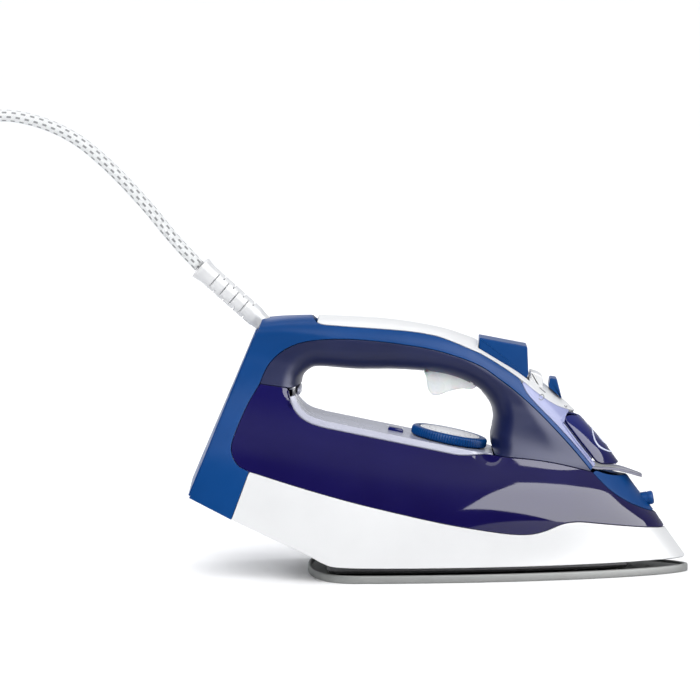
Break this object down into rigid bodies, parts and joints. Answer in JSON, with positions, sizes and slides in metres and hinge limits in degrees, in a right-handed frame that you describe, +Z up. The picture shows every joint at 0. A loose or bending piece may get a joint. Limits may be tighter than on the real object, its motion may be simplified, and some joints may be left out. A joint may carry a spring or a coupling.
{
  "type": "clothes iron",
  "caption": "Steam iron: grey soleplate under a white skirt, dark blue tank and loop handle with a white cap, blue dial, spray button, steam lever and trigger, filler flap and braided cord.",
  "frame": {"origin": "centre of the bounding box of the iron without its free cord, on the plane that the soleplate rests on", "axes": "+X to the nose, +Z up when the iron stands on its soleplate, +Y to the far side of a right-facing iron"},
  "size_m": [0.5297, 0.1834, 0.2703],
  "materials": {
    "blue_plastic": "semi-gloss mid blue",
    "navy_grip": "satin very dark blue",
    "tank_plastic": "glossy translucent navy",
    "white_plastic": "satin white",
    "lilac_plastic": "pale lilac translucent",
    "sole_coating": "satin grey coated plate",
    "cast_casting": "dark die-cast metal",
    "steel": "plain steel",
    "brass": "turned brass",
    "inner_plastic": "natural moulded plastic",
    "cord_braid": "white textile braid with grey flecks",
    "tie_strip": "black tie strip"
  },
  "bodies": {
    "housing": {"cord_clamp": "inner_plastic", "cord_coil": "cord_braid", "cord_lead": "cord_braid", "cord_tail": "cord_braid", "cord_tie": "tie_strip", "deck_panel": "lilac_plastic", "filler_funnel": "lilac_plastic", "filler_spout": "lilac_plastic", "grip": "navy_grip", "handle_cap": "white_plastic", "heater_casting": "cast_casting", "heating_element": "steel", "heel_cover": "blue_plastic", "heel_screw_1": "steel", "heel_screw_2": "steel", "heel_screw_3": "steel", "housing_frame": "blue_plastic", "indicator_lens": "navy_grip", "lower_skirt": "white_plastic", "nose_cover": "blue_plastic", "nozzle_jet": "brass", "plug_body": "white_plastic", "plug_pin_1": "steel", "plug_pin_2": "steel", "rear_base_cover": "white_plastic", "soleplate": "sole_coating", "spray_cylinder": "inner_plastic", "spray_nozzle": "blue_plastic", "spray_spring": "steel", "spray_tube": "inner_plastic", "steam_chamber_lid": "steel", "steam_cylinder": "inner_plastic", "steam_spring": "steel", "steam_valve": "brass", "suction_tube": "inner_plastic", "supply_lead": "cord_braid", "tank_bulkhead": "inner_plastic", "tank_floor": "inner_plastic", "terminal_block": "inner_plastic", "thermal_fuse": "inner_plastic", "thermostat": "brass", "trigger_pin": "steel", "water_tank": "tank_plastic"},
    "dial": {"temperature_dial": "blue_plastic", "dial_face": "white_plastic", "thermostat_shaft": "steel"},
    "spray_button": {"spray_button": "blue_plastic", "spray_piston": "inner_plastic"},
    "trigger": {"steam_trigger": "white_plastic"},
    "steam_pump_piston": {"steam_piston": "inner_plastic"},
    "steam_lever": {"steam_lever": "blue_plastic"},
    "steam_needle": {"steam_needle": "steel"},
    "filler_lid": {"filler_lid": "tank_plastic"},
    "cord_guard": {"cord_guard": "white_plastic"}
  },
  "joints": [
    {"name": "dial_turn", "type": "hinge", "parent": "housing", "child": "dial", "pos_m": [0.005, 0, 0.07645], "axis": [0.2007, 0, 0.9797], "range_deg": [0, 270]},
    {"name": "spray_button_press", "type": "slide", "parent": "housing", "child": "spray_button", "axis": [0, 0, -1], "range_m": [0, 0.004], "stiffness_N_per_m": 400, "springref_m": -0.002, "deforming": ["spray_spring"]},
    {"name": "steam_trigger_pull", "type": "hinge", "parent": "housing", "child": "trigger", "pos_m": [0.019, 0, 0.1126], "axis": [0, 1, 0], "range_deg": [0, 7], "stiffness_Nm_per_rad": 0.3, "springref_deg": -3.44},
    {"name": "steam_piston_slide", "type": "slide", "parent": "housing", "child": "steam_pump_piston", "axis": [0, 0, 1], "range_m": [0, 0.0026], "deforming": ["steam_spring"]},
    {"name": "steam_lever_slide", "type": "slide", "parent": "housing", "child": "steam_lever", "axis": [0.7578, 0, -0.6525], "range_m": [-0.004, 0.004]},
    {"name": "steam_needle_lift", "type": "slide", "parent": "housing", "child": "steam_needle", "axis": [0, 0, 1], "range_m": [-0.002, 0.002]},
    {"name": "filler_lid_open", "type": "hinge", "parent": "housing", "child": "filler_lid", "pos_m": [0.0808, 0, 0.094], "axis": [0, -1, 0], "range_deg": [0, 60]},
    {"name": "cord_guard_swivel", "type": "hinge", "parent": "housing", "child": "cord_guard", "pos_m": [-0.1038, 0, 0.1463], "axis": [-0.746, 0, 0.666], "continuous": true}
  ],
  "couplings": [
    {"joint": "steam_piston_slide", "follows": "steam_trigger_pull", "m_per_rad": 0.0195},
    {"joint": "steam_needle_lift", "follows": "steam_lever_slide", "ratio": 0.5}
  ]
}
